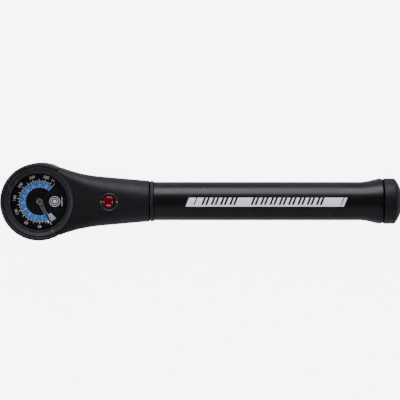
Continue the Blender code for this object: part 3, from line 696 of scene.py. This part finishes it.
def show_numbers(name, labels, size, finish_name, top=PRINT_TOP):
    """Raised numbers round the dial: (text, radius, angle), with their tops pointing outward."""
    joined = bmesh.new()
    for text, radius, angle in labels:
        curve = bpy.data.curves.new(name, "FONT")
        curve.body = text
        curve.size = size
        curve.align_x = "CENTER"
        curve.align_y = "CENTER"
        curve.extrude = (top - DIAL_TOP) / 2
        letter = bpy.data.objects.new(name, curve)
        bpy.context.collection.objects.link(letter)
        graph = bpy.context.evaluated_depsgraph_get()
        mesh = bpy.data.meshes.new_from_object(letter.evaluated_get(graph))
        place = HEAD + Vector((radius * cos(angle), radius * sin(angle), (top + DIAL_TOP) / 2))
        mesh.transform(Matrix.Translation(place) @ Matrix.Rotation(angle - pi / 2, 4, "Z"))
        joined.from_mesh(mesh)
        bpy.data.objects.remove(letter, do_unlink=True)
        bpy.data.meshes.remove(mesh)
    show(name, joined, finish_name, "head")


def make_dial_face():
    """The black plate that carries the print, with a hole for the needle's arbor."""
    low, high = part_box("dial_plate")
    radius, hole, edge = (high.x - low.x) / 2, 0.0010, 0.0001
    outline = rounded([(hole, low.z, 0), (radius, low.z, edge), (radius, high.z, edge),
                       (hole, high.z, 0)])
    show("dial_face", turned(outline, upright(HEAD), 128), "dial_black", "head", ["dial_plate"])


def make_band():
    """The blue band and its scale in bar, from 0 to 20, with a number at every second mark."""
    inner, outer, start, end = 0.00905, 0.0126, radians(50), radians(296)
    show_bars("dial_band", [(inner, outer, start, end - start)], "blue_ink")
    line, line_inner, line_outer = radians(0.9), inner - 0.0002, 0.0152
    show_bars("dial_band_end", [(line_inner, line_outer, start - line, line)], "white_ink")

    bar_step, last_bar = PSI_STEP * PSI_PER_BAR, 20
    number_radius, number_size = 0.0104, 0.0020
    tick, dash, dash_outer = radians(1.0), radians(4.4), 0.0094
    marks = []
    for bar in range(last_bar + 1):
        angle = PSI_ZERO + bar_step * bar
        tick_inner = 0.0117 if bar % 2 else 0.0113
        marks.append((tick_inner, outer, angle - tick / 2, tick))
        marks.append((inner, dash_outer, angle - dash / 2, dash))
    show_bars("dial_band_marks", marks, "pale_blue_ink", OVERPRINT_TOP)
    numbers = [(str(bar), number_radius, PSI_ZERO + bar_step * bar)
               for bar in range(2, last_bar + 1, 2)]
    show_numbers("dial_band_numbers", numbers, number_size, "pale_blue_ink", OVERPRINT_TOP)


def make_psi_scale():
    """The outer scale in psi: a fine ring, a tick every 10 and a number every 40."""
    ring, half_line, tick_step, last_tick, number_step, last_number = 0.0131, 0.0001, 10, 300, 40, 280
    sweep = PSI_STEP * last_tick
    ticks = [(ring - half_line, ring + half_line, PSI_ZERO + sweep, -sweep)]
    for step in range(last_tick // tick_step + 1):
        outer, width = (0.0139, radians(0.9)) if step % 2 else (0.0146, radians(1.3))
        ticks.append((ring, outer, PSI_ZERO + PSI_STEP * tick_step * step - width / 2, width))
    show_bars("dial_ticks", ticks, "white_ink")
    number_radius, number_size, unit_radius, unit_size = 0.0162, 0.0026, 0.0163, 0.0019
    numbers = [(str(psi), number_radius, PSI_ZERO + PSI_STEP * psi)
               for psi in range(number_step, last_number + 1, number_step)]
    show_numbers("dial_numbers", numbers, number_size, "grey_ink")
    show_numbers("dial_unit", [("psi", unit_radius, radians(57))], unit_size, "grey_ink")


def make_zero_block():
    """The block of print beside the zero mark: three pale bars on a blue field, and a stub."""
    start, sweep, count = radians(-60), radians(15), 3
    show_bars("dial_zero_field", [(0.0098, 0.0153, start, sweep)], "deep_blue_ink")
    inner, outer, pitch = 0.0102, 0.0150, sweep / count
    width = pitch / 2
    bars = [(inner, outer, start + pitch * (number + 0.5) - width / 2, width)
            for number in range(count)]
    stub_inner, stub_start, stub_sweep = 0.0132, radians(-69.5), radians(4.5)
    bars.append((stub_inner, outer, stub_start, stub_sweep))
    show_bars("dial_zero_bars", bars, "white_ink", OVERPRINT_TOP)


def make_dial_sign():
    """A plain sign to the right of the hub: two rings round a dot, with a short rule beside it."""
    centre = HEAD + Vector((0.0098, 0, 0))
    sign = bmesh.new()
    for inner, outer in [(0.0030, 0.0034), (0.0018, 0.0022), (0.0001, 0.0011)]:
        add_turned(sign, slab(inner, outer, DIAL_TOP, PRINT_TOP), upright(centre), 64)
    rule, width, half_height = centre.x + 0.0044, 0.0004, 0.0030
    add_prism(sign, slab(rule, rule + width, -half_height, half_height), DIAL_TOP, PRINT_TOP)
    show("dial_sign", sign, "white_ink", "head")


# ---------------------------------------------------------------- needle

NEEDLE_ANGLE = radians(-62.9)
NEEDLE_LENGTH = 0.0171
BLADE_START, BLADE_END = 0.0012, 0.0085


def along_needle(outline):
    """Turn an outline drawn along +X to where the needle points at rest."""
    turn = Matrix.Rotation(NEEDLE_ANGLE, 2)
    return [HEAD.xy + turn @ Vector(point) for point in outline]


def blade_outline(inset):
    """The tapering blade of the needle, drawn in by an inset on all sides."""
    near, far = 0.00125 - inset, 0.00085 - inset
    start, end = BLADE_START + inset, BLADE_END - inset
    return along_needle([(start, -near), (end, -far), (end, far), (start, near)])


def taper_outline(start, start_half, end, end_half):
    """A straight piece of the needle between two places, with half its width at each."""
    return along_needle([(start, -start_half), (end, -end_half), (end, end_half), (start, start_half)])


def make_needle():
    """The pointer: a grey blade with a dark sunken middle, a thin dark arm and a pale tip."""
    bottom, top, rim, relief = 0.0223, 0.0227, 0.00030, 0.0001
    blade = bmesh.new()
    add_prism(blade, blade_outline(0), bottom, top + relief, hole=blade_outline(rim))
    show("needle_blade", blade, "needle_grey", "needle", ["needle"])
    inlay = bmesh.new()
    add_prism(inlay, blade_outline(rim), bottom, top - relief)
    show("needle_inlay", inlay, "needle_cap", "needle")
    tip_start, tip_half, point_half = NEEDLE_LENGTH - 0.0022, 0.00024, 0.0001
    tail_end, tail_half, waist_half, arm_half = -0.0030, 0.0007, 0.0009, 0.0003
    arm = bmesh.new()
    add_prism(arm, taper_outline(BLADE_END, arm_half, tip_start, tip_half), bottom, top)
    add_prism(arm, taper_outline(tail_end, tail_half, BLADE_START, waist_half), bottom, top)
    show("needle_arm", arm, "needle_black", "needle")
    tip = bmesh.new()
    add_prism(tip, taper_outline(tip_start, tip_half, NEEDLE_LENGTH, point_half), bottom, top)
    show("needle_tip", tip, "white_ink", "needle")


def make_needle_hub():
    """The collar of the needle and the dark cap in its middle."""
    foot, well_floor, collar_top, cap_side, cap_top = 0.0228, 0.0231, 0.0235, 0.0240, 0.0243
    collar_radius, well_mouth, well_radius = 0.0020, 0.0015, 0.0014
    collar = rounded([(0, foot, 0), (collar_radius, foot, 0.0001), (collar_radius, collar_top, 0.0002),
                      (well_mouth, collar_top, 0.0001), (well_radius, well_floor, 0),
                      (0, well_floor, 0)])
    show("needle_collar", turned(collar, upright(HEAD), 64), "needle_grey", "needle", ["needle_hub"])
    cap_radius, flat_radius = 0.0012, 0.0004
    cap = rounded([(0, well_floor, 0), (cap_radius, well_floor, 0), (cap_radius, cap_side, 0.0004),
                   (flat_radius, cap_top, 0.0002), (0, cap_top, 0)])
    show("needle_cap", turned(cap, upright(HEAD), 48), "needle_cap", "needle")


# ---------------------------------------------------------------- bleed valve and hose port

def show_notched(name, outline, floor, finish_name, replaced=()):
    """Show a ring of the bush, with the notch for a key cut across it down to a floor."""
    notch = bmesh.new()
    reach, half_notch = 0.008, 0.0005
    across = slab(VALVE.x - reach, VALVE.x + reach, -half_notch, half_notch)
    add_prism(notch, across, floor, HEAD_TOP + reach)
    ring = loose("bush_base", turned(outline, upright(VALVE), 96))
    mesh = carved(ring, [loose("cutter", notch)])
    show_mesh(name, mesh, finish_name, "head", replaced)


def make_bush():
    """The bush round the button: a dark collar and a bright rim, a shaded and a lit copy of one part
    (painted shade and painted highlight), and a pale key in each notch.
    """
    wall_outer, wall_inner, bore, ledge, rim = 0.00565, 0.0053, 0.00405, 0.0277, 0.0004
    low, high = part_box("button_bush")
    seam = high.z - rim
    collar = rounded([(wall_outer, seam, 0), (wall_outer, low.z, 0.0001), (bore, low.z, 0.0001),
                      (bore, ledge, 0.0001), (wall_inner, ledge, 0.0001), (wall_inner, seam, 0)], 3)
    edge = rounded([(wall_outer, high.z, 0.00015), (wall_outer, seam, 0), (wall_inner, seam, 0),
                    (wall_inner, high.z, 0.00015)], 5)
    # The collar is painted shade, the rim a painted highlight.
    show_notched("bush_collar", collar, ledge, "bush_black", ["button_bush"])
    show_notched("bush_rim", edge, ledge, "bush_finish")
    keys = bmesh.new()
    key_start, key_half, key_foot, key_top = 0.0043, 0.00045, ledge + 0.0001, high.z - 0.0005
    for side in (-1, 1):
        near, far = VALVE.x + side * key_start, VALVE.x + side * wall_outer
        add_prism(keys, slab(near, far, -key_half, key_half), key_foot, key_top)
    show("bush_keys", keys, "bush_finish", "head")


def make_button():
    """The red button, dished on top and hollow underneath."""
    low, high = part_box("bleed_button")
    radius, skirt, hollow_top = (high.x - low.x) / 2, 0.0029, 0.0275
    dish, dish_radius, rim_radius = high.z - 0.0004, 0.0020, 0.0026
    outline = rounded([(0, dish, 0), (dish_radius, dish, 0.0003), (rim_radius, high.z, 0.0002),
                       (radius, high.z, 0.0011), (radius, low.z, 0.0002), (skirt, low.z, 0),
                       (skirt, hollow_top, 0), (0, hollow_top, 0)], 8)
    show("red_button", turned(outline, upright(VALVE), 96), "red_anodised", "button", ["bleed_button"])


def make_spring():
    """The button's coil, a copy of the CAD node's mesh on the head; on the pump it shortens on its
    seat as the button goes in.
    """
    coil = frame["nodes"]["button_spring"].data.copy()
    spring = show_mesh("button_coil", coil, "steel", "head", ["button_spring"])
    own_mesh(spring)


def make_port():
    """The brass insert on the back, with its thread ridges."""
    low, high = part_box("hose_port")
    radius, mouth, first_ridge = (high.x - low.x) / 2, 0.0041, 0.0006
    bore, pitch, depth, ridges = 0.0034, 0.0015, 0.0003, 3
    thread = []
    for ridge in range(ridges):
        height = low.z + first_ridge + ridge * pitch
        thread += [(bore + depth, height, 0), (bore + depth, height + pitch * 0.2, 0),
                   (bore, height + pitch * 0.5, 0), (bore, height + pitch * 0.7, 0)]
    outline = rounded([(radius, high.z, 0.0001), (radius, low.z, 0.0003), (mouth, low.z, 0.0001)]
                      + thread + [(bore, high.z, 0)], 3)
    show("port_insert", turned(outline, upright(PORT), 96), "brass", "head", ["hose_port"])


# ---------------------------------------------------------------- cylinder, barrel and cap

def make_cylinder():
    """The chromed tube that shows when the barrel is drawn out."""
    start, end = CYLINDER_LOW.x - HEAD.x, CYLINDER_HIGH.x - HEAD.x
    bore, edge = 0.0082, 0.0004
    outline = rounded([(CYLINDER_RADIUS, start, edge), (bore, start, 0), (bore, end, 0),
                       (CYLINDER_RADIUS, end, edge)])
    show("cylinder_tube", turned(outline, lengthwise), "chromed_tube", "head", ["inner_cylinder"])


def make_barrel():
    """The sliding tube, with its trumpet flare and the lip that meets the cap."""
    start, end = BARREL_LOW.x - HEAD.x, BARREL_HIGH.x - HEAD.x
    flare_start, flare_end, flare_radius, swell, steps = 0.2076, 0.2187, 0.01455, 0.85, 24
    flare = []
    for step in range(steps + 1):
        share = step / steps
        rise = (1 - cos(share * pi / 2)) ** swell
        flare.append((BARREL_RADIUS + (flare_radius - BARREL_RADIUS) * rise,
                      flare_start + (flare_end - flare_start) * share, 0))
    lip, lip_start, lip_end = (BARREL_HIGH.y - BARREL_LOW.y) / 2, flare_end + 0.0003, end - 0.0004
    joint, face = JOINT_RADIUS - FLOOR_DEPTH, end - FLOOR_DEPTH
    outline = rounded([(BARREL_BORE, start, 0.0003), (BARREL_RADIUS, start, 0.0002)] + flare
                      + [(lip, lip_start, 0.0002), (lip, lip_end, 0.0003), (joint, lip_end, 0),
                         (joint, face, 0), (BARREL_BORE, face, 0.0002)])
    tube = turned(outline, lengthwise, 160)
    show("barrel_tube", tube, "black_anodised", "barrel", ["barrel"], crease=24)
    # A near-black ring floors the joint at the end of the lip: painted shade.
    show_joint_floor("barrel_joint", JOINT_RADIUS, lip_end - FLOOR_DEPTH, end, "barrel")


def add_film(mesh_data, left, right, bottom, top):
    """Add slanted film to the barrel, between two places along it and two heights across it."""
    slant, skin, thickness, rows = 0.40, BARREL_RADIUS + 0.00002, 0.00003, 8
    face = skin + thickness
    rings = []
    for row in range(rows + 1):
        height = bottom + (top - bottom) * row / rows
        angle, shift = height / BARREL_RADIUS, slant * height - HEAD.x
        rings.append([lengthwise(radius, place + shift, angle)
                      for radius, place in [(skin, left), (skin, right), (face, right), (face, left)]])
    add_loft(mesh_data, rings)


def stripe_bars(start, end):
    """The (left, right) ends of the slanted bars: two groups of plain bars in place of words."""
    gap, slender, broad, word_space = 0.0014, 0.0011, 0.0021, 0.0078
    first_end, second_start, second_end = -0.0042, -0.0034, 0.0008
    bars = [(start, first_end), (second_start, second_end)]
    place = second_end
    first_group, second_group = 4, 8
    for pairs in (first_group, second_group):
        for _ in range(pairs):
            for width in (slender, broad):
                left = place + gap
                place = left + width
                bars.append((left, place))
        if pairs == first_group:
            place += word_space
            bars[-1] = (bars[-1][0], place)
    bars[-1] = (bars[-1][0], end)
    return bars


def make_stripe():
    """The printed stripe along the barrel: a slanted silver film, cut by plain slanted gaps."""
    low, high, start, end = -0.0031, 0.0027, -0.0088, 0.0932
    base, overlap, base_short, last_bar, bars_short = low + 0.0011, 0.00001, 0.0020, 0.0018, 0.0026
    film = bmesh.new()
    add_film(film, start, end - base_short, low, base)
    for left, right in stripe_bars(start, end - bars_short):
        add_film(film, left, right, base - overlap, high)
    add_film(film, end - last_bar, end, low, high)
    show("barrel_stripe", film, "silver_ink", "barrel")


def make_cap():
    """The end cap: a short cylinder, then a dome down to a flat end."""
    edge_place, end_face, crown, steps = 0.2295, 0.0081, 1.55, 20
    low, shoulder, joint = CAP_START, CAP_START + 0.0004, JOINT_RADIUS - FLOOR_DEPTH
    collar, well, well_floor, pocket, pocket_floor = 0.0120, 0.0083, 0.2263, 0.0062, 0.2303
    dome = []
    for step in range(steps + 1):
        share = step / steps
        dome.append((CAP_RADIUS - (CAP_RADIUS - end_face) * share ** crown,
                     edge_place + (CAP_TIP - edge_place) * share, 0))
    outline = rounded([(well, shoulder, 0), (collar, shoulder, 0), (collar, low, 0), (joint, low, 0),
                       (joint, shoulder, 0), (CAP_RADIUS, shoulder, 0.0003)] + dome
                      + [(0, CAP_TIP, 0), (0, pocket_floor, 0), (pocket, pocket_floor, 0),
                         (pocket, well_floor, 0), (well, well_floor, 0)])
    shell = turned(outline, lengthwise, 160)
    show("cap_shell", shell, "black_composite", "cap", ["end_cap"], crease=24)
    # A near-black ring floors the joint at the cap's foot: painted shade.
    show_joint_floor("cap_joint", JOINT_RADIUS, low, shoulder + FLOOR_DEPTH, "cap")


# ---------------------------------------------------------------- camera, light and floor

def aim(thing, target):
    """Turn a light so that it shines at a target."""
    direction = target - thing.location
    thing.rotation_euler = direction.to_track_quat("-Z", "Y").to_euler()


def make_camera():
    """A long lens above the pump, tipped a little towards +Y, framed as in the photograph."""
    distance, tilt, sensor_mm, margin, off_centre = 1.30, radians(2.2), 36, 1.0047, 0.0007
    target = Vector((-off_centre, off_centre, AXIS_HEIGHT))
    data = bpy.data.cameras.new("camera")
    data.sensor_width = sensor_mm
    data.lens = sensor_mm * distance / (LENGTH * margin)
    data.clip_end = 10
    camera = bpy.data.objects.new("camera", data)
    bpy.context.collection.objects.link(camera)
    camera.location = target + Vector((0, sin(tilt), cos(tilt))) * distance
    camera.rotation_euler = (-tilt, 0, 0)
    bpy.context.scene.camera = camera


def soft_box(name, place, size, power, reflected=True):
    """A rectangular light aimed at the pump, a little violet as in the photograph."""
    data = bpy.data.lights.new(name, "AREA")
    data.shape = "RECTANGLE"
    data.size, data.size_y = size
    data.energy = power
    data.color = (0.98, 0.97, 1.05)
    light = bpy.data.objects.new(name, data)
    bpy.context.collection.objects.link(light)
    light.location = place
    light.visible_glossy = reflected
    aim(light, Vector((0, 0, AXIS_HEIGHT)))


def make_floor():
    """A pale floor that glows, so that it stays bright round the black pump."""
    half_size, below_pump = 4.0, 0.0002
    floor_mesh = bmesh.new()
    bmesh.ops.create_grid(floor_mesh, x_segments=1, y_segments=1, size=half_size)
    mesh = bpy.data.meshes.new("floor")
    floor_mesh.to_mesh(mesh)
    floor_mesh.free()
    floor = bpy.data.objects.new("floor", mesh)
    floor.location.z = -below_pump
    bpy.context.collection.objects.link(floor)
    material, _, shader = new_material("floor", (0.93, 0.94, 0.95), 0.9)
    shader.inputs["Emission Color"].default_value = (0.97, 0.985, 1.0, 1)
    shader.inputs["Emission Strength"].default_value = 6.5
    mesh.materials.append(material)
    floor.visible_glossy = False


def make_sky():
    """A studio that is dark overhead and brighter low down, more so beyond the gauge."""
    world = bpy.data.worlds.new("studio")
    bpy.context.scene.world = world
    world.use_nodes = True
    tree = world.node_tree
    background = tree.nodes["Background"]
    background.inputs["Color"].default_value = (0.98, 0.90, 1.06, 1)
    coordinates = tree.nodes.new("ShaderNodeTexCoord")
    lowness = tree.nodes.new("ShaderNodeVectorMath")
    lowness.operation = "DOT_PRODUCT"
    lowness.inputs[1].default_value = (-0.30, 0.0, -0.954)
    tree.links.new(coordinates.outputs["Generated"], lowness.inputs[0])
    strength = spread(tree, lowness.outputs["Value"], low=0.010, high=0.60, first=-0.35, last=1.0)
    tree.links.new(strength, background.inputs["Strength"])


def make_lights():
    """A key light from +Y, a weak fill from -Y, one beyond the gauge and one overhead."""
    soft_box("key_box", place=(0.0, 0.753, 0.346), size=(0.90, 0.56), power=6.1)
    soft_box("fill_box", place=(0.0, -0.75, 0.55), size=(1.4, 0.9), power=1.1)
    soft_box("left_box", place=(-0.85, 0.0, 0.50), size=(0.30, 0.60), power=2)
    soft_box("top_box", place=(0.0, 0.0, 1.6), size=(1.0, 1.0), power=20, reflected=False)


def dress_cad_nodes():
    """Give every CAD node the procedural finish of its slot, with black enamel for the case."""
    slots = {part["node"]: part["material_slot"] for part in frame["record"]["subparts"]}
    slots["gauge_case"] = "black_enamel"
    for name, node in frame["nodes"].items():
        node.data.materials.clear()
        node.data.materials.append(finish(slots[name]))


make_camera()
dress_cad_nodes()
make_head_shell()
make_guard()
make_seam_floors()
make_bumper()
make_bezel()
make_window()
make_dial_face()
make_band()
make_psi_scale()
make_zero_block()
make_dial_sign()
make_needle()
make_needle_hub()
make_bush()
make_button()
make_spring()
make_port()
make_cylinder()
make_barrel()
make_stripe()
make_cap()
make_floor()
make_sky()
make_lights()
